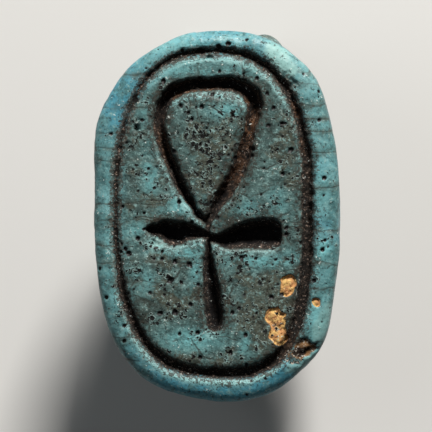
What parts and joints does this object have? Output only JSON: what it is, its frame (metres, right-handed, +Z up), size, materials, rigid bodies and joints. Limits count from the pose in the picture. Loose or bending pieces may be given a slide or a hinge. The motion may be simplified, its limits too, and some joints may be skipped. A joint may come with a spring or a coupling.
{
  "type": "frog amulet",
  "caption": "Small glazed faience amulet: a squatting frog on an oval plate, pierced lengthwise for a thread, with an ankh inside an oval border line cut into the underside.",
  "frame": {"origin": "on the surface that the amulet lies on, below the middle of its outline", "axes": "the amulet lies on the frog's back: +Z points up, out of the carved face, +Y towards the frog's head and the top of the ankh, +X to the right of the carved face as it is read"},
  "size_m": [0.0106, 0.016, 0.0087],
  "materials": {
    "faience": "worn turquoise glaze, pitted, with brown dirt in the cuts"
  },
  "bodies": {
    "root": {"frog_amulet": "faience"}
  },
  "joints": []
}
